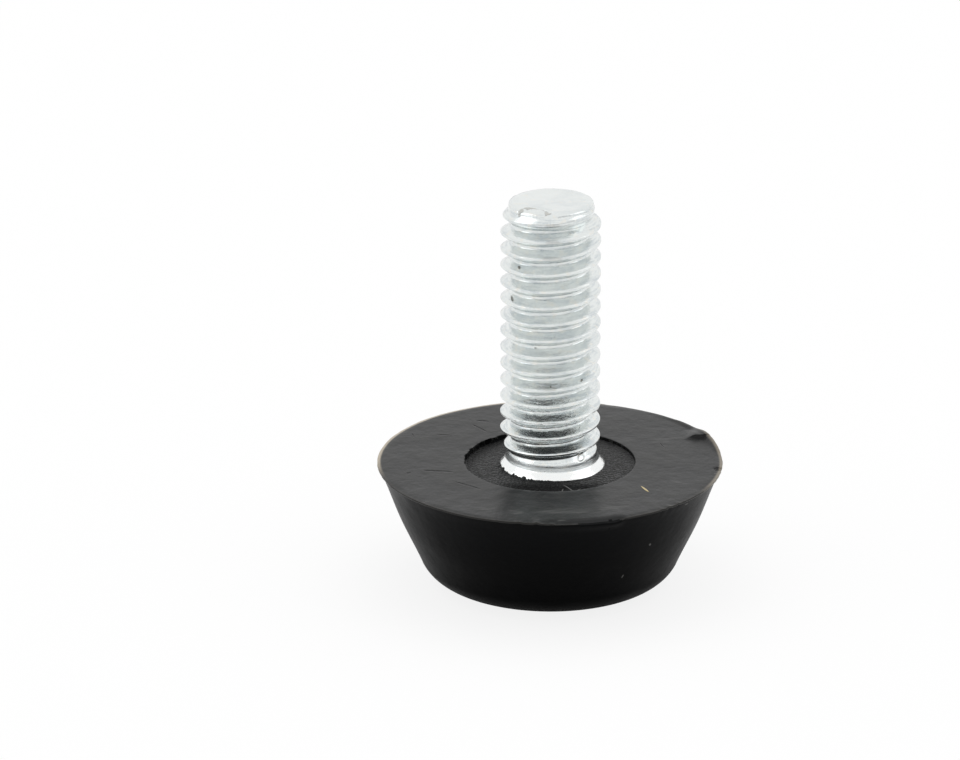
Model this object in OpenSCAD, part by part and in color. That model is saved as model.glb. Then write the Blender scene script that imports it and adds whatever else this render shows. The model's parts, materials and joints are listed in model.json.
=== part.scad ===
// Screw-in furniture foot: a plastic base moulded round the head of a threaded steel stud.
// Millimetres. +Z is up along the stud. The origin is on the foot's axis, in the plane that the foot
// stands on, which is the lower face of the ribs under the base.

/* [Base] */
// Radius of the flank where it meets the top face
base_r = 10; // [8.5:0.05:16]
// Height from the flat underside, ribs left out, to the top face
base_h = 7.05; // [6.6:0.05:9]
// Lean of the flank from upright, in degrees
flank_angle = 22.9; // [0:0.1:26]
// Radius of the rounding between the flank and the underside
bottom_edge_r = 2.1; // [0.4:0.1:3]

/* [Rim flash] */
// How far the thin lip stands out past the flank at the top face
flash_reach = 0.07; // [0.05:0.01:0.6]
// Thickness of that lip
flash_t = 0.14; // [0.06:0.01:0.4]

/* [Top recess] */
// Diameter of the shallow recess round the stud
recess_d = 9.95; // [8:0.05:13]
// Depth of the recess
recess_depth = 0.2; // [0.05:0.05:0.6]

/* [Ribs under the base] */
// Number of parallel ribs
rib_count = 3; // [1:1:3]
// Distance from one rib's centre line to the next
rib_pitch = 3.9; // [1.6:0.1:4.2]
// Width of a rib
rib_w = 1; // [0.5:0.1:1.4]
// Height that the ribs stand out of the underside
rib_h = 0.25; // [0.1:0.05:1]
// End-to-end length of the middle rib
middle_rib_l = 9.3; // [3:0.1:10]
// End-to-end length of the ribs beside it
side_rib_l = 6.6; // [2:0.1:7]
// Direction that the ribs run in, in degrees from +X: towards the mould's gate
rib_direction = 26; // [0:1:179]

/* [Stud] */
// Height of the stud's tip above the top face
stud_reach = 16; // [10:0.5:40]
// Diameter of the plain shank, which the plastic grips up to the recess floor
shank_d = 6.2; // [5.8:0.1:7.6]
// Height of the cone that narrows the shank above the recess floor
cone_h = 0.6; // [0.3:0.05:0.8]
// Diameter at the top of the cone
neck_d = 5.3; // [4.8:0.05:5.6]
// Length of the neck, from the cone to where the thread starts
neck_l = 0.65; // [0.2:0.05:3]
// Length of the unthreaded pilot at the tip
pilot_l = 1.1; // [0.6:0.1:3]
// Diameter of the pilot
pilot_d = 4.94; // [4.7:0.02:5.4]
// Chamfer on the pilot's end
pilot_chamfer = 0.14; // [0.05:0.01:0.5]

/* [Thread] */
// Outside diameter of the rolled thread
thread_d = 5.8; // [5.7:0.05:6.2]
// Distance from one crest to the next
thread_pitch = 1; // [0.75:0.05:1.25]
// Angle between a groove's two flanks, in degrees
thread_angle = 60; // [55:1:70]
// Diameter of the half-formed crest where the thread runs out
run_out_d = 5.44; // [5:0.02:5.6]

/* [Buried head] */
// Width of the hexagon head across its flats
head_af = 10; // [8:0.5:11]
// Height of the head
head_h = 3.5; // [1.5:0.1:4]
// Thickness of plastic between the head and the recess floor
head_cover = 1.8; // [1:0.1:2.4]
// Chamfer round the head's corners
head_chamfer = 0.5; // [0.2:0.05:0.8]

/* [Hidden] */

$fn = 96;

// Levels, from the bottom up
underside_z = rib_h;
top_z = underside_z + base_h;
recess_z = top_z - recess_depth;
head_top_z = recess_z - head_cover;
head_bottom_z = head_top_z - head_h;
head_middle_z = head_bottom_z + head_h / 2;
tip_z = top_z + stud_reach;

// The rounding under the flank, as the arc that touches both the flank and the underside
flank_foot_r = base_r - base_h * tan(flank_angle);
edge_tangent = bottom_edge_r * tan((90 - flank_angle) / 2);
flat_r = flank_foot_r - edge_tangent;
edge_centre_z = underside_z + bottom_edge_r;
flank_start_r = flank_foot_r + edge_tangent * sin(flank_angle);
flank_start_z = underside_z + edge_tangent * cos(flank_angle);

// Thread section, with the standard flats on its crests and roots
crest_r = thread_d / 2;
crest_flat = thread_pitch / 8;
root_flat = thread_pitch / 5;
root_r = crest_r - (thread_pitch - crest_flat - root_flat) / 2 / tan(thread_angle / 2);
run_out_r = run_out_d / 2;

// Where the thread starts, and how many whole turns fit below the pilot
neck_z = recess_z + cone_h;
thread_z = neck_z + neck_l;
run_out_z = thread_z + ridge_half(run_out_r);
pilot_z = tip_z - pilot_l;
full_turns = floor((pilot_z - ridge_half(crest_r) - run_out_z) / thread_pitch);

// Half the width, at the root, of a ridge whose crest has radius r
function ridge_half(r) = crest_flat / 2 + (r - root_r) * tan(thread_angle / 2);

// The corners of one ridge at height z, from the bottom up
function ridge(z, r) = [
    [root_r, z - ridge_half(r)],
    [r, z - crest_flat / 2],
    [r, z + crest_flat / 2],
    [root_r, z + ridge_half(r)]
];

// One side of the base's axial section, without the recess
module base_outline() {
    polygon([
        [0, underside_z],
        [flat_r, underside_z],
        [flat_r, edge_centre_z],
        [flank_start_r, flank_start_z],
        [base_r, top_z],
        [0, top_z]
    ]);
    translate([flat_r, edge_centre_z]) circle(bottom_edge_r);
    translate([0, top_z - flash_t]) square([base_r + flash_reach, flash_t]);
}

// One side of the stud's axial section, from the middle of its head up.
// Each turn of the thread is drawn as a level ridge of the thread's own section.
module stud_outline() {
    polygon([
        [0, head_middle_z],
        [shank_d / 2, head_middle_z],
        [shank_d / 2, recess_z],
        [neck_d / 2, neck_z],
        each ridge(run_out_z, run_out_r),
        for (turn = [1 : full_turns]) each ridge(run_out_z + turn * thread_pitch, crest_r),
        [pilot_d / 2, pilot_z],
        [pilot_d / 2, tip_z - pilot_chamfer],
        [pilot_d / 2 - pilot_chamfer, tip_z],
        [0, tip_z]
    ]);
}

// A bar with round ends, lying along X
module rib_outline(length) {
    straight = length - rib_w;
    square([straight, rib_w], center = true);
    for (end = [-1, 1]) translate([end * straight / 2, 0]) circle(d = rib_w);
}

// The ribs, each carried on up into the base so that the two are one moulding
module ribs() {
    middle = (rib_count - 1) / 2;
    rotate(rib_direction) {
        for (i = [0 : rib_count - 1]) translate([0, (i - middle) * rib_pitch, 0]) {
            linear_extrude(2 * rib_h) rib_outline(i == middle ? middle_rib_l : side_rib_l);
        }
    }
}

// The stud's hexagon head, with its corners chamfered on the side away from the shank
module buried_head() {
    corner_r = head_af / 2 / cos(30);
    face_r = corner_r - head_chamfer;
    translate([0, 0, head_bottom_z]) intersection() {
        cylinder(r = corner_r, h = head_h, $fn = 6);
        cylinder(r1 = face_r, r2 = face_r + head_h / tan(30), h = head_h);
    }
}

module foot_body() {
    color([0.09, 0.09, 0.095]) difference() {
        union() {
            rotate_extrude() base_outline();
            ribs();
        }
        translate([0, 0, recess_z]) cylinder(d = recess_d, h = 2 * recess_depth);
        translate([0, 0, head_middle_z]) cylinder(d = shank_d, h = top_z - head_middle_z);
        buried_head();
    }
}

module threaded_stud() {
    color([0.8, 0.83, 0.85]) union() {
        rotate_extrude() stud_outline();
        buried_head();
    }
}

foot_body();
threaded_stud();
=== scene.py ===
"""A screw-in furniture foot: a black moulded base round the head of a zinc-plated threaded stud.

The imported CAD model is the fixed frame. Two detailed pieces replace its two nodes, in the same place
and the same box. Sizes are written in millimetres and turned into metres where a mesh is built.
"""

import json
import logging
import math
from dataclasses import dataclass, replace
from enum import Enum
from functools import partial, reduce
from typing import Any, Callable, Sequence

import bmesh
import bpy
from mathutils import Matrix, Vector, noise


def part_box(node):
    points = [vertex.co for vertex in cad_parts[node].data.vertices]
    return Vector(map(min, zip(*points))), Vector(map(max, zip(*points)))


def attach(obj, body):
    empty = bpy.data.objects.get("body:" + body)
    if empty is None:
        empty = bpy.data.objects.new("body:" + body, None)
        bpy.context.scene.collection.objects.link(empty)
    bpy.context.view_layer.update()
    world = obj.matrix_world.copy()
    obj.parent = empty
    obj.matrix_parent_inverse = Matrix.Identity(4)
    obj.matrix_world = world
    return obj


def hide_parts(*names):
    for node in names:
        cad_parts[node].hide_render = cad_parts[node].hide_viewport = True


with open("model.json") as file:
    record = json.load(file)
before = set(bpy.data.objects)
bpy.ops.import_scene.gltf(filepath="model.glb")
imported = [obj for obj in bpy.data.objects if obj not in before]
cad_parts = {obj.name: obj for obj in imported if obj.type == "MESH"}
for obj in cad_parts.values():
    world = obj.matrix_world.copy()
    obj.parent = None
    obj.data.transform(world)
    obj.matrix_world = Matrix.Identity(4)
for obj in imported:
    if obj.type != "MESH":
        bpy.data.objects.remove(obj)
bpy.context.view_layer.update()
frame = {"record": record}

MM = 0.001
WHITE = (1.0, 1.0, 1.0)
FULL_TURN = 2 * math.pi
UP = Vector((0.0, 0.0, 1.0))
LOG = logging.getLogger("furniture_foot")

Colour = tuple[float, float, float]
Link = bpy.types.NodeSocket
MeshBuilder = bmesh.types.BMesh


def ease(low: float, high: float, x: float) -> float:
    """Smooth step: 0 where x is at or below low, 1 where it is at or above high."""
    t = min(max((x - low) / (high - low), 0.0), 1.0)
    return t * t * (3 - 2 * t)


def fade(low: float, high: float, x: float) -> float:
    """Smooth step down: 1 where x is at or below low, 0 where it is at or above high."""
    return 1 - ease(low, high, x)


def hump(centre: float, half_width: float, x: float) -> float:
    """Smooth hump: 1 at the centre, 0 from half_width away on."""
    return fade(0, 1, abs(x - centre) / half_width)


def shares(count: int) -> list[float]:
    """Even steps up to 1, without 0."""
    return [step / count for step in range(1, count + 1)]


def between(x: float, stops: Sequence[tuple[float, float]]) -> float:
    """Value at x on the straight lines that join the stops, held flat past the two ends.

    Args:
        x: where to read.
        stops: pairs of place and value, in rising order of place.

    Returns:
        The value at x.
    """
    if x <= stops[0][0]:
        return stops[0][1]
    for (x0, y0), (x1, y1) in zip(stops, stops[1:]):
        if x <= x1:
            return y0 + (y1 - y0) * (x - x0) / (x1 - x0)
    return stops[-1][1]


def soft_least(a: float, b: float, softness: float) -> float:
    """The smaller of two numbers, with the corner between them rounded off."""
    h = min(max(0.5 + 0.5 * (b - a) / softness, 0.0), 1.0)
    return b + (a - b) * h - softness * h * (1 - h)


def soft_most(a: float, b: float, softness: float) -> float:
    """The larger of two numbers, with the corner between them rounded off."""
    return -soft_least(-a, -b, softness)


def angle_of(x: float, y: float) -> float:
    """Direction of a point round the stud's axis, in degrees from +X, from 0 up to 360."""
    return math.degrees(math.atan2(y, x)) % 360


def unit_xy(angle: float) -> tuple[float, float]:
    """The x and y of a direction that is given in degrees from +X."""
    turn = math.radians(angle)
    return math.cos(turn), math.sin(turn)


def polar(angle: float, radius: float, height: float) -> Vector:
    """The point at an angle round the stud's axis, a distance from it and a height."""
    x, y = unit_xy(angle)
    return Vector((radius * x, radius * y, height))


def grit(seed: float, *place: float) -> float:
    """Repeatable smooth noise in about -1 to 1 at a place of up to three coordinates."""
    coordinates = (list(place) + [0.0, 0.0, 0.0])[:3]
    return noise.noise(Vector(coordinates) + Vector((seed, 1.7 * seed, 2.3 * seed)))


def ripple(seed: float, waves: float, angle: float) -> float:
    """Repeatable smooth noise in about -1 to 1 round the axis, with so many waves to a radian."""
    x, y = unit_xy(angle)
    return grit(seed, waves * x, waves * y)


def darker(colour: Colour, share: float) -> Colour:
    """The colour with only a share of its light."""
    return tuple(share * channel for channel in colour)


def verts_among(geometry: Sequence[Any]) -> list[bmesh.types.BMVert]:
    """The points among the parts that a bmesh operator gives back."""
    return [item for item in geometry if isinstance(item, bmesh.types.BMVert)]


def linked(name: str, data: bpy.types.ID) -> bpy.types.Object:
    """Adds an object at the origin.

    Args:
        name: of the object.
        data: its mesh, light or camera.

    Returns:
        The object, which is in the scene.
    """
    thing = bpy.data.objects.new(name, data)
    bpy.context.scene.collection.objects.link(thing)
    return thing


def operator(operation: str, swapped: bool = False) -> Callable[["Value", "Value | float"], "Value"]:
    """Makes a Python operator that adds a Math node.

    Args:
        operation: the node's.
        swapped: whether the second number comes first.

    Returns:
        The method, for the class Value.
    """
    def apply(this: "Value", other: "Value | float") -> "Value":
        """The result of the operation on two numbers."""
        return this.graph.math(operation, *((other, this) if swapped else (this, other)))
    return apply


class Value:
    """A number that varies over a surface. Python's operators on it add Math nodes."""

    def __init__(self, graph: "Graph", socket: Link) -> None:
        """Keeps the output socket and the graph that it belongs to."""
        self.graph = graph
        self.socket = socket

    __add__ = __radd__ = operator("ADD")
    __sub__ = operator("SUBTRACT")
    __rsub__ = operator("SUBTRACT", swapped=True)
    __mul__ = __rmul__ = operator("MULTIPLY")

    def above(self, low: float, high: float) -> "Value":
        """Smooth mask: 0 up to low, 1 from high on."""
        sockets = {"Value": self, "From Min": low, "From Max": high}
        return self.graph.value("ShaderNodeMapRange", sockets, interpolation_type="SMOOTHSTEP")

    def below(self, low: float, high: float) -> "Value":
        """Smooth mask: 1 up to low, 0 from high on."""
        return 1 - self.above(low, high)


class Graph:
    """The shader nodes of one material or world."""

    def __init__(self, tree: bpy.types.NodeTree) -> None:
        """Empties the tree, so that only the nodes added here are in it."""
        self.tree = tree
        tree.nodes.clear()

    def add(self, kind: str, sockets: dict[str | int, Any] | None = None,
            **settings: Any) -> bpy.types.Node:
        """Adds one node.

        Args:
            kind: the node's type, such as "ShaderNodeMath".
            sockets: what feeds its inputs, by name or by number.
            **settings: its properties, set first.

        Returns:
            The new node.
        """
        node = self.tree.nodes.new(kind)
        for name, setting in settings.items():
            setattr(node, name, setting)
        for name, source in (sockets or {}).items():
            self._feed(node.inputs[name], source)
        return node

    def value(self, kind: str, sockets: dict[str | int, Any], **settings: Any) -> Value:
        """Adds one node as add does, and gives its first output as a Value."""
        return Value(self, self.add(kind, sockets, **settings).outputs[0])

    def _feed(self, target: Link, source: Any) -> None:
        """Feeds one input of a node.

        Args:
            target: the input.
            source: a socket, Value or node to link, or a plain number, vector or colour to set.
        """
        if isinstance(source, Value):
            source = source.socket
        elif isinstance(source, bpy.types.Node):
            source = source.outputs[0]
        if isinstance(source, bpy.types.NodeSocket):
            self.tree.links.new(source, target)
        elif target.type == "RGBA" and len(source) == 3:
            target.default_value = (*source, 1.0)
        else:
            target.default_value = source

    def math(self, operation: str, *values: "Value | float") -> Value:
        """One Math node on up to three values or numbers."""
        return self.value("ShaderNodeMath", dict(enumerate(values)), operation=operation)

    def moved(self, vector: Link, **sockets: Sequence[float]) -> Link:
        """The coordinates after a Mapping node with these sockets."""
        return self.add("ShaderNodeMapping", {"Vector": vector, **sockets}).outputs[0]

    def turned(self, vector: Link, degrees: float) -> Link:
        """The same coordinates turned about the stud's axis."""
        return self.moved(vector, Rotation=(0.0, 0.0, math.radians(degrees)))

    def millimetres(self) -> Link:
        """Object coordinates in millimetres."""
        return self.moved(self.add("ShaderNodeTexCoord").outputs["Object"], Scale=[1 / MM] * 3)

    def apart(self, vector: Link) -> tuple[Value, Value, Value]:
        """The x, y and z of a vector as three values."""
        x, y, z = self.add("ShaderNodeSeparateXYZ", {0: vector}).outputs
        return Value(self, x), Value(self, y), Value(self, z)

    def grain(self, vector: Link, stretch: Sequence[float], detail: float = 2.0,
              roughness: float = 0.5, shift: float = 0.0) -> Value:
        """Noise centred on 0, in about -0.5 to 0.5.

        Args:
            vector: coordinates in millimetres.
            stretch: how many noise cells there are to a millimetre along x, y and z.
            detail: finer layers on top of the first.
            roughness: how strong those layers are.
            shift: moves the pattern, so that two noises differ.

        Returns:
            The noise as a value.
        """
        place = self.moved(vector, Scale=stretch, Location=(shift, 1.3 * shift, 0.7 * shift))
        return self.value("ShaderNodeTexNoise", {"Vector": place, "Scale": 1.0, "Detail": detail,
                                                 "Roughness": roughness}) - 0.5

    def blend(self, amount: "Value | float", first: Any, second: Any) -> Link:
        """Mixes two colours: the first where amount is 0, the second where it is 1."""
        mix = self.add("ShaderNodeMix", {0: amount, 6: first, 7: second}, data_type="RGBA")
        return mix.outputs[2]

    def layered(self, colour: Any, layers: Sequence[tuple[Value, Any]]) -> Any:
        """Lays colours over one: pairs of mask and colour, in the order in which they go on."""
        return reduce(lambda under, layer: self.blend(layer[0], under, layer[1]), layers, colour)

    def relief(self, height: Value) -> Link:
        """Bump from a height in millimetres."""
        bump = {"Height": height, "Strength": 1.0, "Distance": MM}
        return self.add("ShaderNodeBump", bump).outputs[0]

    def surface(self, shader: bpy.types.Node) -> None:
        """Makes a shader the material's surface."""
        self.add("ShaderNodeOutputMaterial", {"Surface": shader})


def new_material(name: str) -> tuple[bpy.types.Material, Graph]:
    """Adds a material.

    Args:
        name: of the material.

    Returns:
        The material and the graph of its nodes, which is empty.
    """
    material = bpy.data.materials.new(name)
    material.use_nodes = True
    return material, Graph(material.node_tree)


@dataclass(frozen=True)
class Mark:
    """A small long mark on a surface: its middle, half length and half width, and its turn in degrees."""

    x: float
    y: float
    half_length: float
    half_width: float
    turn: float = 0.0

    def mask(self, x: Value, y: Value) -> Value:
        """Mask of the mark: 1 in its middle, fading to 0 at its outline.

        Args:
            x: the surface's x in millimetres.
            y: its y, or its height where the mark is on an upright surface.

        Returns:
            The mask.
        """
        cosine, sine = unit_xy(self.turn)
        x, y = x - self.x, y - self.y
        along = (x * cosine + y * sine) * (1 / self.half_length)
        across = (y * cosine - x * sine) * (1 / self.half_width)
        return (along * along + across * across).below(0.3, 1)


def marks_mask(x: Value, y: Value, marks: Sequence[Mark]) -> Value:
    """One mask for several marks, taken as Mark.mask takes x and y."""
    masks = [mark.mask(x, y) for mark in marks]
    return reduce(partial(x.graph.math, "MAXIMUM"), masks)


@dataclass(frozen=True)
class MouldedPlastic:
    """Black moulded plastic: satin top and flank, grained recess and underside, handling marks, painted
    shade and one painted highlight.

    A mark's place is its x and y, or its x and its height above the top face on an upright surface.
    """

    top_z: float
    recess_r: float
    flank_top_r: float
    colour: Colour = (0.0085, 0.0088, 0.0092)
    worn_colour: Colour = (0.036, 0.036, 0.034)
    underside_colour: Colour = (0.02, 0.0195, 0.0205)
    pale_mark_colour: Colour = (0.16, 0.16, 0.155)
    flash_colour: Colour = (0.5, 0.44, 0.35)
    straw_colour: Colour = (0.55, 0.45, 0.24)
    specular_level: float = 0.2
    roughness: float = 0.34
    # Dark scratches in the top face, most of them left of the stud. The mark at x 8.8 is a painted shadow
    # under the gate's stub, and those at x 9.56 and 9.76 are painted shade in the nick.
    scratches_and_shade: tuple[Mark, ...] = (
        Mark(-4.78, -4.05, 1, 0.12, -39),
        Mark(-6.5, -1.75, 0.95, 0.16, -9),
        Mark(-4.1, 5.3, 0.8, 0.1, -56),
        Mark(-3.9, 6.5, 0.4, 0.16, -15),
        Mark(-8.2, -2.1, 0.16, 0.13, 10),
        Mark(-8, 4.1, 0.35, 0.05, -80),
        Mark(-6.2, 4.2, 0.55, 0.09, -12),
        Mark(6.6, 2.4, 0.45, 0.05, -72),
        Mark(8.8, 3.5, 0.62, 0.17),
        Mark(9.76, -1.3, 0.24, 0.22),
        Mark(9.56, -1.75, 0.2, 0.12, 30),
    )
    # Pale streaks that a trimming knife left, running up to the gate's stub
    knife_streaks: tuple[Mark, ...] = (
        Mark(6.9, 3.6, 1.3, 0.22, 8),
        Mark(6.4, 3, 1, 0.1, 6),
        Mark(7.4, -3.6, 0.7, 0.14, -35),
    )
    # Light scuffs along the front of the top face and on its rim, and at x 9.56, y -2.1 a painted
    # highlight by the nick
    scuffs_and_nick_highlight: tuple[Mark, ...] = (
        Mark(0.6, -8.1, 1.9, 0.5, 4),
        Mark(3.6, -7.6, 1.2, 0.35, 14),
        Mark(-2, -8.2, 0.5, 0.5),
        Mark(-0.9, -9.3, 0.3, 0.35),
        Mark(0.6, -9.6, 0.35, 0.2),
        Mark(6.9, -6.3, 0.25, 0.2),
        Mark(9.56, -2.1, 0.1, 0.12),
        Mark(2.3, -8.4, 1.4, 0.16, -6),
        Mark(-3.6, -7.8, 0.6, 0.3, 30),
    )
    # A bent fibre on the recess floor's front edge, in three straight lengths
    lint: tuple[Mark, ...] = (
        Mark(0.66, -4.45, 0.45, 0.04, 80),
        Mark(1.05, -4, 0.75, 0.05, -62),
        Mark(1.52, -4.35, 0.42, 0.045, 50),
    )
    # Pale specks on the front of the flank
    flank_specks: tuple[Mark, ...] = (
        Mark(5.68, -2.5, 0.08, 0.1),
        Mark(4.12, -4.45, 0.05, 0.16, -25),
        Mark(7.79, -0.4, 0.12, 0.09),
    )
    # A splinter of straw, stuck to the top face
    straw: Mark = Mark(5.42, -4.62, 0.6, 0.09, -66)

    def material(self, name: str) -> bpy.types.Material:
        """Makes the finish.

        Args:
            name: of the material.

        Returns:
            The material.
        """
        material, graph = new_material(name)
        place = graph.millimetres()
        x, y, z = graph.apart(place)
        radius = graph.math("SQRT", x * x + y * y)
        up = z - self.top_z

        near_top = up.above(-0.09, -0.04)
        top = near_top * radius.above(self.recess_r - 0.04, self.recess_r + 0.02)
        near_recess = up.above(-0.5, -0.4)
        recess = near_recess * (1 - top) * radius.below(self.recess_r - 0.02, self.recess_r + 0.05)
        recess_front = y.below(-4, -2.8) * recess
        shade = recess_front * (x * x).below(2, 14)
        under = z.below(0.35, 0.9) * radius.below(7, 7.4)
        grained = graph.math("MAXIMUM", recess, under)
        # Darker towards the bottom of the flank: painted shade near the floor.
        low = z.below(3, self.top_z - 0.3) * (1 - under)
        back_left = ((y * 0.75 - x * 0.66) * (1 / self.flank_top_r)).above(0.4, 0.72)
        right = (x * (1 / self.flank_top_r)).above(0.85, 0.97) * 0.4
        lip = radius.above(self.flank_top_r - 0.2, self.flank_top_r - 0.05) * up.above(-0.17, -0.13)

        cloud = graph.grain(place, (0.35, 0.35, 0.35), 3, 0.55)
        mottle = graph.grain(place, (1.1, 0.7, 1), 3, 0.6, 27)
        peel = graph.grain(place, (1.3, 1.3, 1.3), 2, 0.5, 5)
        fine = graph.grain(place, (9, 9, 9), 3, 0.6, 9)
        coarse = graph.grain(place, (8, 6, 6), 1, 0.5, 13)
        streaks = graph.grain(graph.turned(place, -12), (0.5, 7, 3), 2, 0.5, 17)
        tooling = graph.grain(graph.turned(place, 24), (0.6, 9, 0.6), 1, 0.5, 21)

        scratches_and_shade = marks_mask(x, y, self.scratches_and_shade) * top
        pale = graph.math("MAXIMUM", marks_mask(x, y, self.knife_streaks) * 0.22,
                          marks_mask(x, y, self.scuffs_and_nick_highlight) * 0.32) * (streaks * 4 + 0.6).above(0.1, 1)
        lint = marks_mask(x, y, self.lint) * near_recess
        straw = self.straw.mask(x, y) * near_top
        specks = marks_mask(x, up, self.flank_specks) * y.below(-0.5, 0.5) * (1 - top)
        worn = (cloud * 2.6 + mottle * 3 + 0.4).above(0.1, 1.2) * top
        sparkle = (coarse * 3).above(0.1, 0.5) * recess * (1 - shade * 0.8)
        colour = graph.layered(self.colour, [
            (under, self.underside_colour),
            # Painted shade, darker towards the bottom of the flank
            (low * 0.9, darker(self.colour, 0.1)),
            (worn * 0.45, self.worn_colour),
            (sparkle * 0.9, self.worn_colour),
            (shade * 0.9, darker(self.colour, 0.15)),
            # Dark scratches, and painted shade by the gate's stub and in the nick
            (scratches_and_shade * 0.9, darker(self.colour, 0.2)),
            # Knife streaks and scuffs, with one painted highlight by the nick
            (pale * top, self.pale_mark_colour),
            (lint * 0.9, self.pale_mark_colour),
            (specks * 0.7, self.pale_mark_colour),
            (straw, self.straw_colour),
            (lip * (back_left * 0.85 + right + 0.02), self.flash_colour),
        ])

        speckle = (coarse * 4 + 0.3).above(0, 1) * grained
        roughness = self.roughness + cloud * 0.16 + fine * 0.1 + mottle * top * 0.16
        roughness = roughness + (pale + specks) * 0.2 + speckle * 0.3
        roughness = roughness + recess_front * 0.12 + shade * 0.3

        woven = x.above(-1.5, 3)
        height = peel * 0.01 + cloud * 0.07 + fine * 0.003 + (streaks * 0.005 + mottle * 0.042) * top
        height = height + (coarse * (0.16 - woven * 0.06) + tooling * (woven * 0.1)) * grained
        height = height - scratches_and_shade * 0.09 + straw * 0.05
        graph.surface(graph.add("ShaderNodeBsdfPrincipled", {
            "Base Color": colour,
            "Roughness": roughness,
            "Normal": graph.relief(height),
            "Specular IOR Level": self.specular_level,
        }))
        return material


@dataclass(frozen=True)
class ZincPlate:
    """Bright zinc plating on rolled steel: milky, slightly blue, with fine rolling lines and specks, and
    with painted highlight, shade and reflections.

    A mark's place is its x and y on the tip, and its x and its height above the top face elsewhere.
    """

    top_z: float
    tip_z: float
    colour: Colour = (0.78, 0.81, 0.8)
    warm_colour: Colour = (0.82, 0.8, 0.74)
    dull_colour: Colour = (0.5, 0.555, 0.59)
    collar_highlight_colour: Colour = (0.97, 0.98, 0.97)
    speck_colour: Colour = (0.1, 0.095, 0.07)
    shade_and_dent_colour: Colour = (0.3, 0.275, 0.23)
    roughness: float = 0.16
    # Dark pits in the front of the plating
    specks: tuple[Mark, ...] = (
        Mark(-1.82, 12.49, 0.1, 0.065, 10),
        Mark(-2.22, 10.42, 0.1, 0.075, -10),
        Mark(-0.88, 7.72, 0.08, 0.045),
        Mark(1.79, 5.67, 0.09, 0.055, 10),
        Mark(-0.05, 6.09, 0.08, 0.045),
        Mark(1.1, 4.3, 0.09, 0.03),
        Mark(-1.3, 2.2, 0.1, 0.03, 10),
    )
    # Faint brown painted reflections of the dark camera down the middle of the thread
    camera_reflections: tuple[Mark, ...] = (
        Mark(0.1, 15.3, 0.55, 0.13),
        Mark(0.12, 14.36, 0.55, 0.13),
        Mark(0.05, 13.38, 0.75, 0.13),
        Mark(-0.05, 5.45, 0.5, 0.12),
    )
    # Painted shade in the fold at the front left of the tip's face
    fold_shade: tuple[Mark, ...] = (
        Mark(-1.75, -1.58, 0.3, 0.14, 50),
        Mark(-1.15, -1.36, 0.5, 0.1, -6),
        Mark(-0.45, -1.66, 0.4, 0.18, -38),
        Mark(-0.2, -2.1, 0.3, 0.2, -60),
    )
    # A small ring-shaped dent in the neck: its outside and the part inside it that stands proud
    dent: Mark = Mark(1.78, 0.86, 0.27, 0.24)
    dent_middle: Mark = Mark(1.78, 0.86, 0.2, 0.17)

    def material(self) -> bpy.types.Material:
        """Makes the finish.

        Returns:
            The material.
        """
        material, graph = new_material("zinc_plated_steel")
        place = graph.millimetres()
        x, y, z = graph.apart(place)
        up = z - self.top_z
        front = y.below(-0.3, 0)
        collar = up.below(0.2, 0.26)
        neck = up.above(0.2, 0.3) * up.below(0.5, 0.8)
        tip_face = z.above(self.tip_z - 0.25, self.tip_z - 0.1)

        cloud = graph.grain(place, (0.9, 0.9, 0.7), 3, 0.6)
        warm = graph.grain(place, (2.6, 2.6, 4), 2, 0.5, 7)
        lines = graph.grain(place, (0.5, 0.5, 11), 4, 0.7, 11)
        scores = graph.grain(place, (9, 9, 0.6), 2, 0.6, 23)
        beads = graph.grain(place, (5, 5, 5), 2, 0.6, 15)
        crystals = graph.grain(place, (13, 13, 13), 1, 0.5, 17)

        specks = marks_mask(x, up, self.specks) * front
        camera_reflections = marks_mask(x, up, self.camera_reflections) * front
        ring = self.dent.mask(x, up) * (1 - self.dent_middle.mask(x, up)) * front
        fold_shade = marks_mask(x, y, self.fold_shade) * z.above(self.tip_z - 0.5, self.tip_z - 0.4)
        dull = (cloud * 1.6 + lines * 3.2 + scores + 0.3).above(0, 1)
        dull = dull * (1 - collar) * (1 - tip_face * 0.6)
        colour = graph.layered(self.colour, [
            (dull * 0.6, self.dull_colour),
            (warm.above(0.05, 0.22) * 0.6, self.warm_colour),
            # The collar is painted lighter: a painted highlight.
            (collar * 0.6, self.collar_highlight_colour),
            # Painted reflections of the dark camera down the middle of the thread
            (camera_reflections * 0.28, self.shade_and_dent_colour),
            # Painted shade in the tip's fold, and the dark ring of the neck's dent
            (graph.math("MAXIMUM", fold_shade * 0.45, ring * 0.4), self.shade_and_dent_colour),
            (specks * 0.8, self.speck_colour),
        ])

        roughness = self.roughness + cloud * 0.16 + lines * 0.12 + crystals * 0.08
        roughness = roughness + specks * 0.3 + neck * 0.14
        height = lines * 0.011 * (1 - tip_face) + scores * 0.004 + cloud * (0.02 - tip_face * 0.01)
        height = height + beads * 0.008 + crystals * 0.003 - fold_shade * 0.03 - ring * 0.03
        graph.surface(graph.add("ShaderNodeBsdfPrincipled", {
            "Base Color": colour,
            "Roughness": roughness,
            "Metallic": 1.0 - specks * 0.6,
            "Normal": graph.relief(height),
        }))
        return material


def dress(piece: bpy.types.Object, materials: Sequence[bpy.types.Material], body: str, node: str) -> None:
    """Finishes a piece and puts it in the place of its CAD node.

    Args:
        piece: the finished mesh object.
        materials: its finishes, in the order of its faces' material numbers.
        body: the CAD body that it rides on.
        node: the CAD node that it replaces.
    """
    for material in materials:
        piece.data.materials.append(material)
    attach(piece, body)
    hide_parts(node)


def shade(mesh: bpy.types.Mesh, sharp_degrees: float) -> None:
    """Shades a mesh smooth, with a sharp edge wherever it turns by more than so many degrees."""
    mesh.shade_smooth()
    mesh.set_sharp_from_angle(angle=math.radians(sharp_degrees))


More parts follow.
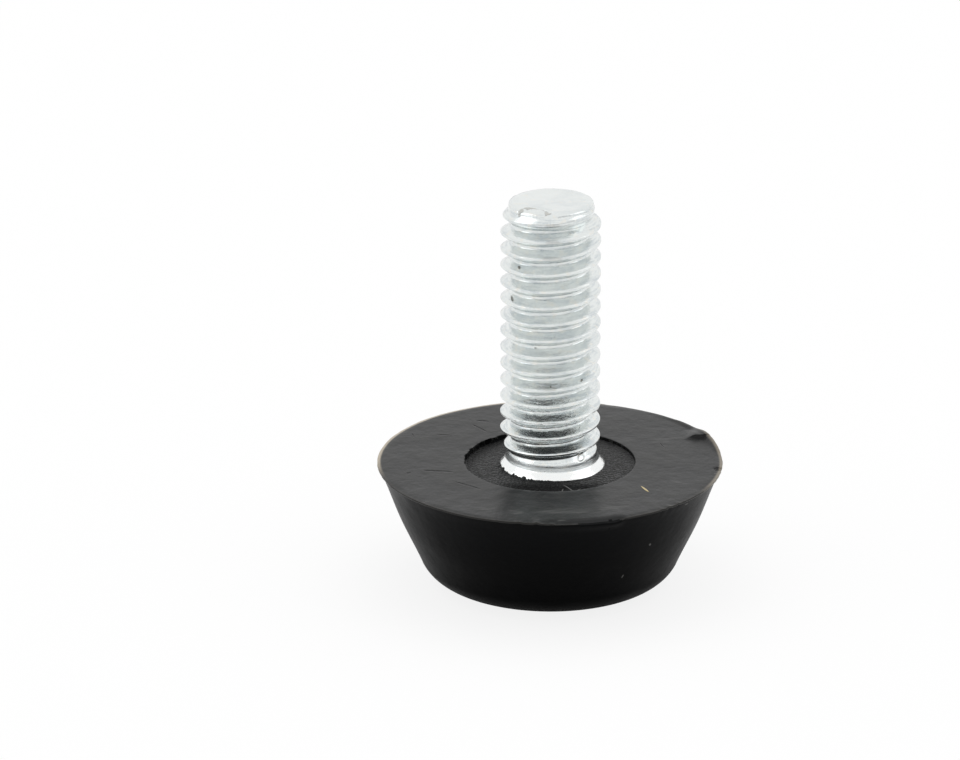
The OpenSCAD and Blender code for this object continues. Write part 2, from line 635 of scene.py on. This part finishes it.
def into_object(name: str, mesh_builder: MeshBuilder, sharp_degrees: float) -> bpy.types.Object:
    """Turns a bmesh in millimetres into a smooth-shaded object in metres.

    Args:
        name: the piece's name.
        mesh_builder: the bmesh, which is freed.
        sharp_degrees: edges that turn by more than this stay sharp.

    Returns:
        The linked object.
    """
    bmesh.ops.recalc_face_normals(mesh_builder, faces=mesh_builder.faces)
    bmesh.ops.scale(mesh_builder, vec=(MM, MM, MM), verts=mesh_builder.verts)
    mesh = bpy.data.meshes.new(name)
    mesh_builder.to_mesh(mesh)
    mesh_builder.free()
    shade(mesh, sharp_degrees)
    return linked(name, mesh)


def hexagon_radius(across_flats: float, angle: float) -> float:
    """Distance from the centre to the side of a hexagon that has a corner on +X."""
    from_flat = (angle % 60) - 30
    return across_flats / 2 / math.cos(math.radians(from_flat))


@dataclass
class RolledStud:
    """The threaded stud, rolled and headed from one blank.

    Levels whose names end in _z are from the ground, and all others from the base's top face.
    """

    top_z: float
    tip_z: float
    head_bottom_z: float
    crest_r: float
    root_r: float = 2.3
    pitch: float = 1.0
    crest_phase: float = 0.59
    flank_start: float = 0.06
    flank_end: float = 0.41
    crest_softness: float = 0.06
    root_softness: float = 0.08
    neck_r: float = 2.625
    pilot_r: float = 2.465
    shank_r: float = 3.1
    head_top: float = -2.0
    head_across_flats: float = 10.0
    head_chamfer: float = 0.5
    off_centre: float = 0.14
    face_r: float = 1.93
    face_rings: int = 17
    face_shift: float = 0.23
    collar_roughness: float = 0.018
    thread_bottom: float = 0.56
    thread_top_below_tip: float = 0.4
    sharp_degrees: float = 40.0
    steps_per_turn: int = 150
    rows_per_pitch: int = 22

    @property
    def length(self) -> float:
        """How far the stud stands above the base's top face."""
        return self.tip_z - self.top_z

    def crest_height(self, angle: float, height: float) -> float:
        """Height of the crest that lies nearest to a height, at an angle round the stud."""
        phase = self.crest_phase + self.pitch * angle / 360
        return phase + self.pitch * round((height - phase) / self.pitch)

    def tooth(self, away: float) -> float:
        """Height of the tooth from 0 to 1, at a share of the pitch away from the crest."""
        flank = (self.flank_end - away) / (self.flank_end - self.flank_start)
        return soft_least(soft_most(flank, 0.0, self.root_softness), 1.0, self.crest_softness)

    def thread_radius(self, angle: float, height: float) -> float:
        """Radius of the thread's surface.

        The tooth is a rounded 60 degree section. The dies press it less deeply near the neck, and its
        crest isn't filled out where the blank narrows at the tip.

        Args:
            angle: degrees round the stud.
            height: above the base's top face.

        Returns:
            The radius in millimetres.
        """
        crest = self.crest_height(angle, height)
        tooth = self.tooth(abs(height - crest) / self.pitch)
        below_tip = self.length - height
        base = self.root_r + (self.pilot_r - self.root_r) * fade(0.85, 1.15, below_tip)
        filled = between(self.length - crest, [(0.4, 0.1), (0.65, 0.45), (0.91, 0.72), (1.3, 1.0)])
        radius = base + (self.crest_r - base) * tooth * filled
        blank = between(height, [(self.thread_bottom, self.neck_r), (1.3, self.neck_r - 0.14)])
        pressed = ease(self.thread_bottom, 1.45, height)
        return blank + (radius - blank) * pressed

    def off_axis(self, height: float) -> float:
        """How far the neck and collar lie off the thread's axis, along +X."""
        return self.off_centre * fade(0.85, 1.7, height)

    def lay(self, angle: float, radius: float, height: float) -> Vector:
        """Point on the stud at an angle, radius and height."""
        point = polar(angle, radius, self.top_z + height)
        return point + Vector((self.off_axis(height), 0.0, 0.0))

    def build(self) -> bpy.types.Object:
        """Builds the stud.

        Returns:
            The piece "rolled_stud".
        """
        stud = bmesh.new()
        self._roll_thread(stud)
        self._form_tip(stud)
        self._form_lower_end(stud)
        bmesh.ops.remove_doubles(stud, verts=stud.verts, dist=0.0015)
        return into_object("rolled_stud", stud, self.sharp_degrees)

    def _roll_thread(self, stud: MeshBuilder) -> None:
        """Sweeps one pitch of the side round and up by a turn, stacks the turns, and cuts the thread.

        Args:
            stud: the mesh, which is empty.
        """
        start = self.crest_phase - 2 * self.pitch
        turns = math.ceil((self.length - start) / self.pitch) + 1
        row = self.pitch / self.rows_per_pitch
        chain = [stud.verts.new((self.crest_r, 0.0, start + i * row))
                 for i in range(self.rows_per_pitch + 1)]
        rungs = [stud.edges.new(pair) for pair in zip(chain, chain[1:])]
        bmesh.ops.spin(stud, geom=chain + rungs, cent=(0, 0, 0), axis=UP, angle=FULL_TURN,
                       dvec=(0, 0, self.pitch / self.steps_per_turn), steps=self.steps_per_turn,
                       use_merge=False)
        first_turn = stud.verts[:] + stud.edges[:] + stud.faces[:]
        for turn in range(1, turns):
            copied = bmesh.ops.duplicate(stud, geom=first_turn)["geom"]
            bmesh.ops.translate(stud, vec=(0, 0, turn * self.pitch), verts=verts_among(copied))
        bmesh.ops.remove_doubles(stud, verts=stud.verts, dist=0.002)
        for vert in stud.verts:
            angle = angle_of(vert.co.x, vert.co.y)
            height = vert.co.z
            radius = self.thread_radius(angle, height)
            radius += 0.008 * grit(3, 1.5 * vert.co.x, 1.5 * vert.co.y, 1.2 * height)
            vert.co = self.lay(angle, min(radius, self.crest_r), height)
        thread_top = self.length - self.thread_top_below_tip
        for height, direction in ((thread_top, 1), (self.thread_bottom, -1)):
            geometry = stud.verts[:] + stud.edges[:] + stud.faces[:]
            bmesh.ops.bisect_plane(stud, geom=geometry, dist=1e-5, clear_outer=True,
                                   plane_co=(0, 0, self.top_z + height), plane_no=(0, 0, direction))

    def _close_end(self, stud: MeshBuilder, upper: bool, centre: Vector,
                   places: Sequence[Callable[[float], Vector]]) -> None:
        """Extrudes an open end ring by ring and draws the last ring together.

        Args:
            stud: the mesh.
            upper: whether it is the upper end.
            centre: where the last ring's points meet.
            places: for each ring, where its point at an angle goes.
        """
        middle = (self.top_z + self.tip_z) / 2
        rim = [edge for edge in stud.edges
               if edge.is_boundary and (edge.verts[0].co.z > middle) == upper]
        centre_x = sum(edge.verts[0].co.x for edge in rim) / len(rim)
        angles = {vert: angle_of(vert.co.x - centre_x, vert.co.y)
                  for edge in rim for vert in edge.verts}
        for place in places:
            grown = bmesh.ops.extrude_edge_only(stud, edges=rim)["geom"]
            grown_angles = {}
            for vert in verts_among(grown):
                source = next(edge.other_vert(vert) for edge in vert.link_edges
                              if edge.other_vert(vert) in angles)
                grown_angles[vert] = angles[source]
                vert.co = place(angles[source])
            angles = grown_angles
            rim = [item for item in grown if isinstance(item, bmesh.types.BMEdge)
                   and item.verts[0] in angles and item.verts[1] in angles]
        bmesh.ops.pointmerge(stud, verts=list(angles), merge_co=centre)

    def _tip_relief(self, x: float, y: float) -> float:
        """Unevenness of the tip's face, with one folded lap.

        Args:
            x: of a point on the face.
            y: of that point.

        Returns:
            How far it lies below the tip's highest point.
        """
        uneven = 0.032 + 0.02 * grit(7, 0.8 * x, 0.8 * y) + 0.012 * grit(8, 2.2 * x, 2.2 * y)
        out = math.hypot((x + 1.0) / 0.88, (y + 1.92) / 0.5)
        groove = hump(1, 0.34, out)
        tab = fade(0.45, 0.85, out)
        line = hump(-1.93, 0.14, y + 0.08 * math.sin(2.4 * x)) * hump(0.55, 0.8, x)
        return max(uneven + 0.12 * groove + 0.03 * line - 0.03 * tab, 0.0)

    def _on_tip(self, radius: float, drop: float, shift: float, angle: float) -> Vector:
        """A point of the tip, which is a little rough.

        Args:
            radius: of the ring that it is on.
            drop: how far that ring lies below the tip.
            shift: how far the ring lies off the axis, along +X.
            angle: degrees round the stud.

        Returns:
            The point.
        """
        x, y = unit_xy(angle)
        rough = 0.05 * grit(5, 1.8 * x, 1.8 * y, 2 * drop)
        point = self.lay(angle, radius + rough, self.length - drop)
        point.x += shift
        point.z -= self._tip_relief(point.x, point.y) * fade(0.02, 0.3, drop)
        return point

    def _form_tip(self, stud: MeshBuilder) -> None:
        """Rounds the pilot's end and closes it with an uneven face that is a little off centre.

        Args:
            stud: the mesh, open at the thread's top.
        """
        rings = [(self.pilot_r, 0.31, 0.0), (2.455, 0.22, 0.01), (2.42, 0.145, 0.03),
                 (2.35, 0.09, 0.06), (2.26, 0.05, 0.1), (2.16, 0.022, 0.15), (2.05, 0.006, 0.2)]
        for share in reversed(shares(self.face_rings)):
            rings.append((self.face_r * share, 0.0, self.face_shift * share))
        centre = Vector((0, 0, self.tip_z - self._tip_relief(0.0, 0.0)))
        self._close_end(stud, True, centre, [partial(self._on_tip, *ring) for ring in rings])

    def _on_side(self, radius: float, height: float, angle: float, rough: float = 0.0,
                 centred: bool = False) -> Vector:
        """A point of the neck, the collar or the shank.

        Args:
            radius: of the ring that it is on.
            height: of the ring above the base's top face.
            angle: degrees round the stud.
            rough: how uneven the ring is where it lies on the collar's rim.
            centred: whether the ring lies on the thread's own axis.

        Returns:
            The point.
        """
        x, y = unit_xy(angle)
        uneven = rough * grit(11, 3.5 * x, 3.5 * y, 2 * height) * ease(2.7, 2.95, radius)
        point = self.lay(angle, radius + uneven, height)
        point.x -= self.off_axis(height) if centred else 0.0
        return point

    def _on_head(self, inset: float, height: float, angle: float) -> Vector:
        """A point of the hexagon head.

        Args:
            inset: how far the chamfer cuts into the corners at the point's level.
            height: above the base's top face.
            angle: degrees round the stud.

        Returns:
            The point.
        """
        corner_r = hexagon_radius(self.head_across_flats, 0) - inset
        return polar(angle, min(hexagon_radius(self.head_across_flats, angle), corner_r),
                     self.top_z + height)

    def _form_lower_end(self, stud: MeshBuilder) -> None:
        """Runs the side down through the neck's groove, the collar and the shank to the buried head.

        Args:
            stud: the mesh, open at the thread's bottom.
        """
        head_bottom = self.head_bottom_z - self.top_z
        chamfer_top = head_bottom + self.head_chamfer * math.tan(math.radians(30))
        neck = ((2.627, 0.53), (2.632, 0.49), (2.641, 0.44), (2.653, 0.39), (2.666, 0.34),
                (2.678, 0.3), (2.683, 0.275), (2.69, 0.255))
        collar = ((2.75, 0.19), (2.83, 0.115), (2.91, 0.04), (2.98, -0.035), (3.04, -0.105),
                  (3.07, -0.16))
        below_collar = ((3.08, -0.22), (3.09, -0.28))
        shank = ((self.shank_r, -0.5), (self.shank_r, self.head_top))
        head = ((0.0, self.head_top), (0.0, chamfer_top), (self.head_chamfer, head_bottom))
        head_face = ((3.0, head_bottom), (1.0, head_bottom))
        on_collar = partial(self._on_side, rough=self.collar_roughness)
        centred = partial(self._on_side, centred=True)
        parts = ((self._on_side, neck), (on_collar, collar), (self._on_side, below_collar),
                 (centred, shank), (self._on_head, head), (centred, head_face))
        places = [partial(place, *ring) for place, rings in parts for ring in rings]
        self._close_end(stud, False, Vector((0, 0, self.head_bottom_z)), places)


class Skin(Enum):
    """The two surfaces of the base: the top skin, and the side skin, the same plastic with less gloss and
    a darker colour that is painted shade.
    """

    TOP = 0
    SIDE = 1


@dataclass
class MouldedFoot:
    """The plastic base: a cone with a thin flash lip, a shallow recess, ribs and the head's cavity."""

    top_z: float
    lip_r: float
    base_r: float = 10.0
    underside_z: float = 0.25
    flank_angle: float = 22.9
    edge_r: float = 2.1
    lip_t: float = 0.14
    recess_r: float = 4.975
    recess_depth: float = 0.2
    hole_r: float = 3.1
    hole_shift: float = 0.1
    head_top_z: float = 5.3
    head_bottom_z: float = 1.8
    head_across_flats: float = 10.0
    rib_height: float = 0.25
    rib_width: float = 1.0
    rib_pitch: float = 3.9
    rib_lengths: tuple[float, float, float] = (6.6, 9.3, 6.6)
    rib_direction: float = 26.0
    rib_edge: float = 0.11
    rib_corners: int = 38
    flank_bulge: float = 0.1
    stub_rise: float = 0.22
    stub_shoulder: float = 0.28
    nick_angle: float = 351.8
    nick_depth: float = 0.12
    trim_depth: float = 0.2
    chip_rise: float = 0.22
    sharp_degrees: float = 35.0
    steps: int = 576
    flat_steps: int = 6
    edge_steps: int = 18
    flank_steps: int = 24

    def outline(self) -> list[tuple[float, float]]:
        """Half section as radius and height, from the underside's centre round to the cavity's floor.

        Returns:
            The points in order.
        """
        lean = math.radians(self.flank_angle)
        flank_foot_r = self.base_r - (self.top_z - self.underside_z) * math.tan(lean)
        flat_r = flank_foot_r - self.edge_r * math.tan((math.pi / 2 - lean) / 2)
        points = [(0.0, self.underside_z)]
        points += [(flat_r * share, self.underside_z) for share in shares(self.flat_steps)]
        for share in shares(self.edge_steps):
            turn = -math.pi / 2 + (math.pi / 2 - lean) * share
            points.append((flat_r + self.edge_r * math.cos(turn),
                           self.underside_z + self.edge_r * (1 + math.sin(turn))))
        start_z = points[-1][1]
        lip_z = self.top_z - self.lip_t
        for share in shares(self.flank_steps):
            z = start_z + (lip_z - start_z) * share
            points.append((self.base_r - (self.top_z - z) * math.tan(lean), z))
        reach = self.lip_r - self.base_r
        points += [(self.base_r + share * reach, lip_z + z)
                   for share, z in ((0.35, 0.01), (0.8, 0.03), (1, 0.06), (1, 0.1))]
        points += [(self.base_r + share * reach, self.top_z - z)
                   for share, z in ((0.8, 0.005), (0.3, 0))]
        radius = self.base_r - 0.05
        while radius > self.recess_r + 0.12:
            points.append((radius, self.top_z))
            radius -= 0.11 if radius > 9.0 else 0.17
        floor_z = self.top_z - self.recess_depth
        points += [(self.recess_r + r, self.top_z - z)
                   for r, z in ((0.07, 0.0), (0.03, 0.004), (0.008, 0.02), (0.0, 0.05))]
        points += [(self.recess_r - r, floor_z + z)
                   for r, z in ((0.015, 0.03), (0.035, 0.008), (0.07, 0.0))]
        radius = self.recess_r - 0.2
        while radius > self.hole_r + 0.35:
            points.append((radius, floor_z))
            radius -= 0.16
        points += [(self.hole_r + r, floor_z) for r in (0.3, 0.22, 0.15, 0.09, 0.04, 0.0)]
        corner_r = hexagon_radius(self.head_across_flats, 0.0)
        points += [(self.hole_r - 0.07, floor_z), (self.hole_r, floor_z - 0.3),
                   (self.hole_r, self.head_top_z), (corner_r, self.head_top_z),
                   (corner_r, self.head_bottom_z), (0.0, self.head_bottom_z)]
        return points

    def build(self) -> bpy.types.Object:
        """Builds the base.

        Returns:
            The piece "moulded_base".
        """
        base = bmesh.new()
        outline = [base.verts.new((r, 0.0, z)) for r, z in self.outline()]
        sides = [base.edges.new(pair) for pair in zip(outline, outline[1:])]
        bmesh.ops.spin(base, geom=outline + sides, cent=(0, 0, 0), axis=UP, angle=FULL_TURN,
                       steps=self.steps, use_merge=True)
        bmesh.ops.remove_doubles(base, verts=base.verts, dist=0.0005)
        for vert in base.verts:
            vert.co = self._shaped(vert.co)
        piece = into_object("moulded_base", base, self.sharp_degrees)
        self._add_ribs(piece)
        for polygon in piece.data.polygons:
            polygon.material_index = self._skin_at(polygon.center / MM, polygon.normal).value
        return piece

    def _skin_at(self, point: Vector, normal: Vector) -> Skin:
        """Which surface a point of the base belongs to.

        Args:
            point: the middle of a face, in millimetres.
            normal: of that face.

        Returns:
            The top skin on the top face, the lip and the recess floor, and the side skin elsewhere.
        """
        radius = point.to_2d().length
        on_wall = abs(radius - self.recess_r) < 0.5 and abs(normal.z) < 0.75
        on_lip = point.z > self.top_z - self.lip_t - 0.005
        in_recess = point.z > self.top_z - 0.45 and radius < self.recess_r + 0.4
        return Skin.TOP if (on_lip or in_recess) and not on_wall else Skin.SIDE

    def _shaped(self, point: Vector) -> Vector:
        """Gives a point of the turned form its place on the real moulding.

        Args:
            point: on the turned form, in millimetres.

        Returns:
            The same point, moved for the hexagon cavity, the ragged lip, nicks and soft waves.
        """
        radius = math.hypot(point.x, point.y)
        on_axis = radius < 1e-4
        if on_axis:
            return point
        angle = angle_of(point.x, point.y)
        height = point.z
        shift = 0.0
        floor_z = self.top_z - self.recess_depth
        in_cavity = radius < 6.0 and self.head_bottom_z - 0.01 < height < self.head_top_z + 0.01
        if in_cavity and radius > self.hole_r + 0.1:
            radius = hexagon_radius(self.head_across_flats, angle)
        elif height > self.top_z - 0.6 and radius > self.recess_r + 0.05:
            radius, height = self._rim_point(radius, height, angle)
        elif height > floor_z - 0.01 and radius > 3.6:
            sunk = 0.15 * hump(150, 80, angle) * (height - self.top_z) / -self.recess_depth
            height -= sunk * ease(3.7, 4.85, radius)
            radius += self._recess_edge(angle) * ease(4.85, 4.93, radius)
        elif height > floor_z - 0.01 and radius < 3.5:
            climb = self._climb(angle)
            height += climb * fade(self.hole_r - 0.02, self.hole_r + 0.12, radius)
            radius -= 0.625 * climb * fade(self.hole_r - 0.05, self.hole_r + 0.1, radius)
            shift = self.hole_shift * ease(3.45, 3.1, radius)
        if self.top_z - 0.05 < height < self.top_z + 0.05 and radius > self.recess_r:
            wave = 0.01 * grit(21, 0.3 * point.x, 0.3 * point.y)
            height += wave - 0.01 + 0.003 * grit(22, 1.4 * point.x, 1.4 * point.y)
        if 1.5 < height < self.top_z - 0.5 and radius > 7.0:
            radius += 0.012 * grit(23, 0.25 * point.x, 0.25 * point.y, 0.25 * height) - 0.006
            radius += self.flank_bulge * hump(4.15, 2.65, height)
        return polar(angle, radius, height) + Vector((shift, 0.0, 0.0))

    def _rim_point(self, radius: float, height: float, angle: float) -> tuple[float, float]:
        """Moves a point near the rim for the ragged lip, the gate's stub, the nick and the trimming.

        Args:
            radius: of the point on the turned form.
            height: of the point on the turned form.
            angle: degrees round the foot.

        Returns:
            The new radius and height.
        """
        x, y = unit_xy(angle)
        if radius > self.base_r:
            ragged = 0.5 + 0.5 * ripple(31, 9, angle) + 0.5 * ripple(32, 26, angle)
            kept = 0.5 + 0.5 * min(max(ragged, 0), 1)
            kept *= 1 - 0.75 * hump(262, 75, angle)
            radius = self.base_r + (radius - self.base_r) * kept
        cut = ease(3.3, 3.66, radius * y)
        stub = self.stub_rise * cut * fade(3.9, 5.4, radius * y) * ease(7.9, 8.6, radius * x)
        before_stub = self.stub_shoulder * (1 - cut) * ease(2, 20, angle) * fade(60, 90, angle)
        beyond_stub = self.stub_rise / 2 * cut * fade(30, 65, angle)
        height += stub + (before_stub + beyond_stub) * ease(9.66, 9.96, radius)
        nick = hump(self.nick_angle, 2, angle)
        height -= self.nick_depth * nick * ease(9.5, 9.8, radius)
        radius -= self.nick_depth / 2 * nick * ease(9.75, 10, radius)
        trimmed = ease(262, 280, angle) * fade(292, 296, angle)
        trimmed *= 0.8 + 0.4 * ripple(35, 12, angle)
        height -= self.trim_depth * trimmed * ease(9.35, 10, radius)
        chips = max(ripple(36, 24, angle), 0) * hump(266, 12, angle)
        chips += max(ripple(37, 24, angle), 0) * hump(314, 9, angle)
        height += self.chip_rise * chips * ease(9.65, 10, radius)
        height -= 0.03 * (1 + ripple(38, 4, angle)) * ease(9.65, 10.05, radius)
        return min(radius, self.lip_r), height

    def _recess_edge(self, angle: float) -> float:
        """How far the recess wall stands outside its circle: wavy on the left, with one notch."""
        wavy = 0.09 * ripple(41, 7, angle) + 0.07 * ripple(42, 19, angle)
        return wavy * hump(150, 75, angle) + 0.34 * hump(136, 4, angle)

    def _climb(self, angle: float) -> float:
        """How high the plastic climbs the stud's collar: ragged on the left, barely on the right."""
        ragged = min(max(0.55 + 1.3 * ripple(43, 8, angle) + 1.3 * ripple(44, 24, angle), 0), 1.2)
        return 0.02 + 0.06 * hump(270, 60, angle) + 0.12 * hump(215, 75, angle) * ragged

    def _add_ribs(self, piece: bpy.types.Object) -> None:
        """Joins the three ribs to the underside, so that base and ribs are one closed mesh.

        Args:
            piece: the base without its ribs.
        """
        ribs = bmesh.new()
        middle = (len(self.rib_lengths) - 1) / 2
        for i, length in enumerate(self.rib_lengths):
            self._add_rib(ribs, length, (i - middle) * self.rib_pitch)
        direction = Matrix.Rotation(math.radians(self.rib_direction), 3, "Z")
        bmesh.ops.rotate(ribs, cent=(0, 0, 0), matrix=direction, verts=ribs.verts)
        cutter = into_object("ribs", ribs, self.sharp_degrees)
        union = piece.modifiers.new("ribs", "BOOLEAN")
        union.operation = "UNION"
        union.solver = "EXACT"
        union.object = cutter
        evaluated = piece.evaluated_get(bpy.context.evaluated_depsgraph_get())
        joined = bpy.data.meshes.new_from_object(evaluated)
        piece.modifiers.clear()
        piece.data = joined
        shade(joined, self.sharp_degrees)
        bpy.data.objects.remove(cutter)

    def _add_rib(self, ribs: MeshBuilder, length: float, offset: float) -> None:
        """Adds one round-ended rib, lying along X.

        Args:
            ribs: the mesh that takes it.
            length: from end to end.
            offset: of its centre line from the middle rib's.
        """
        circle = bmesh.ops.create_circle(ribs, cap_ends=True, segments=self.rib_corners,
                                         radius=self.rib_width / 2)["verts"]
        half_step = Matrix.Rotation(math.pi / self.rib_corners, 3, "Z")
        bmesh.ops.rotate(ribs, cent=(0, 0, 0), matrix=half_step, verts=circle)
        for vert in circle:
            vert.co.x += math.copysign((length - self.rib_width) / 2, vert.co.x)
        bmesh.ops.translate(ribs, vec=(0, offset, 0), verts=circle)
        grown = bmesh.ops.extrude_face_region(ribs, geom=[circle[0].link_faces[0]])["geom"]
        bmesh.ops.translate(ribs, vec=(0, 0, 2 * self.rib_height), verts=verts_among(grown))
        lower_edges = [edge for edge in ribs.edges if all(vert in circle for vert in edge.verts)]
        bmesh.ops.bevel(ribs, geom=lower_edges, offset=self.rib_edge, offset_type="OFFSET", segments=4,
                        profile=0.5, affect="EDGES", material=-1, clamp_overlap=True)


class Side(Enum):
    """Where a studio lamp stands, seen from the camera."""

    LEFT = (-0.55, -0.1, 0.3)
    RIGHT = (0.55, -0.05, 0.3)
    ABOVE = (0.0, 0.1, 0.6)


@dataclass
class Studio:
    """Pale floor, soft lamps, white surround and the camera."""

    top_z: float
    elevation: float = 20.2
    sensor: float = 36.0
    lens: float = 250.0
    view_width: float = 55.88
    aim_left: float = 4.07
    aim_up: float = 4.67
    floor_radius: float = 3.0
    floor_gap: float = 0.00002
    floor_colour: Colour = (0.9, 0.9, 0.9)
    bounce_colour: Colour = (0.45, 0.45, 0.45)
    front_colour: Colour = (0.6, 0.61, 0.62)
    world_strength: float = 0.55

    def build(self) -> None:
        """Makes the floor, the surround, the lamps and the camera."""
        self._floor()
        self._surround()
        self._lamp(Side.LEFT, 0.5, 0.6, 0.65, True)
        self._lamp(Side.RIGHT, 0.5, 0.6, 0.5, True)
        self._lamp(Side.ABOVE, 0.9, 0.7, 1.3, False)
        self._camera()

    def _ray_is(self, graph: Graph, kind: str) -> Value:
        """1 for rays of a kind, which is Camera, Glossy or Transmission."""
        return Value(graph, graph.add("ShaderNodeLightPath").outputs[f"Is {kind} Ray"])

    def _white_for_view(self, graph: Graph) -> Value:
        """1 for rays that show the background: straight to the eye, mirrored or through glass."""
        seen = graph.math("MAXIMUM", self._ray_is(graph, "Camera"), self._ray_is(graph, "Glossy"))
        return graph.math("MAXIMUM", seen, self._ray_is(graph, "Transmission"))

    def _floor(self) -> None:
        """A plain pale floor that shows white and keeps a faint shadow of the foot."""
        plate = bmesh.new()
        bmesh.ops.create_circle(plate, cap_ends=True, segments=96, radius=self.floor_radius)
        bmesh.ops.translate(plate, vec=(0, 0, -self.floor_gap), verts=plate.verts)
        mesh = bpy.data.meshes.new("floor")
        plate.to_mesh(mesh)
        plate.free()
        material, graph = new_material("pale_floor")
        seen = self._white_for_view(graph)
        colour = graph.blend(seen, self.bounce_colour, self.floor_colour)
        matte = graph.add("ShaderNodeBsdfDiffuse", {"Color": colour})
        white = graph.add("ShaderNodeEmission", {"Color": WHITE, "Strength": 1.0})
        shown = seen * 0.08 + self._ray_is(graph, "Camera") * 0.77
        mixed = graph.add("ShaderNodeMixShader", {0: shown, 1: matte, 2: white})
        graph.surface(mixed)
        mesh.materials.append(material)
        floor = linked("floor", mesh)

    def _surround(self) -> None:
        """World that lights at a plain level and shows white."""
        world = bpy.data.worlds.new("studio")
        world.use_nodes = True
        bpy.context.scene.world = world
        graph = Graph(world.node_tree)
        light = graph.add("ShaderNodeBackground", {"Color": WHITE, "Strength": self.world_strength})
        _, ahead, up = graph.apart(graph.add("ShaderNodeTexCoord").outputs["Generated"])
        low_front = ahead.below(-0.1, 0.3) * up.below(0.1, 0.35)
        shaded = low_front * (1 - self._ray_is(graph, "Camera"))
        surround = graph.blend(shaded, WHITE, self.front_colour)
        white = graph.add("ShaderNodeBackground", {"Color": surround, "Strength": 1.0})
        shown = self._white_for_view(graph)
        mixed = graph.add("ShaderNodeMixShader", {0: shown, 1: light, 2: white})
        graph.add("ShaderNodeOutputWorld", {"Surface": mixed})

    def _lamp(self, side: Side, width: float, height: float, radiance: float, mirrored: bool) -> None:
        """Adds one rectangular lamp that faces the foot.

        Args:
            side: where it stands.
            width: of its face, in metres.
            height: of its face, in metres.
            radiance: brightness of its face, where 1 shows as white.
            mirrored: whether it shows in glossy surfaces.
        """
        light = bpy.data.lights.new("lamp_" + side.name.lower(), "AREA")
        light.shape = "RECTANGLE"
        light.size = width
        light.size_y = height
        light.energy = radiance * math.pi * width * height
        lamp = linked(light.name, light)
        lamp.location = side.value
        lamp.visible_glossy = mirrored
        lamp.rotation_euler = Vector(side.value).to_track_quat("Z", "Y").to_euler()

    def _camera(self) -> None:
        """Camera with a long lens, looking along +Y and down on the foot."""
        pitch = math.radians(self.elevation)
        up = Vector((0, math.sin(pitch), math.cos(pitch)))
        back = Vector((0, -math.cos(pitch), math.sin(pitch)))
        aim = Vector((-self.aim_left, 0, self.top_z)) + up * self.aim_up
        distance = self.view_width * self.lens / self.sensor
        camera_data = bpy.data.cameras.new("camera")
        camera_data.sensor_width = self.sensor
        camera_data.lens = self.lens
        camera_data.clip_start = 0.01
        camera = linked("camera", camera_data)
        camera.location = (aim + back * distance) * MM
        camera.rotation_euler = (math.pi / 2 - pitch, 0.0, 0.0)
        bpy.context.scene.camera = camera


def main() -> None:
    """Builds the foot and its studio."""
    logging.basicConfig(level=logging.INFO, format="%(name)s: %(message)s")
    body_low, body_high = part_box("foot_body")
    stud_low, stud_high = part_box("threaded_stud")
    thread_mount = next(mount for mount in frame["record"]["mounts"] if mount["kind"] == "pin")
    top_z = body_high.z / MM
    bpy.context.scene.view_settings.view_transform = "Standard"

    foot = MouldedFoot(top_z=top_z, lip_r=body_high.x / MM)
    base_piece = foot.build()
    top_skin = MouldedPlastic(top_z=top_z, recess_r=foot.recess_r, flank_top_r=foot.base_r)
    # The side skin is the top's plastic with less gloss and a much darker colour: painted shade on the
    # flank and the recess wall.
    shaded_side_skin = replace(top_skin, specular_level=0.045, colour=(0.0024, 0.0026, 0.0029))
    skins = [top_skin.material("black_plastic_top"), shaded_side_skin.material("black_plastic_side_painted_shade")]
    dress(base_piece, skins, "root", "foot_body")
    LOG.info("moulded base: %d faces", len(base_piece.data.polygons))

    stud = RolledStud(top_z=top_z, tip_z=stud_high.z / MM, head_bottom_z=stud_low.z / MM,
                      crest_r=thread_mount["dims"]["r_mm"])
    stud_piece = stud.build()
    zinc = ZincPlate(top_z=top_z, tip_z=stud.tip_z)
    dress(stud_piece, [zinc.material()], "root", "threaded_stud")
    LOG.info("rolled stud: %d faces", len(stud_piece.data.polygons))

    Studio(top_z=top_z).build()
    LOG.info("studio: floor, surround, lamps and camera")


if __name__ == "__main__":
    main()
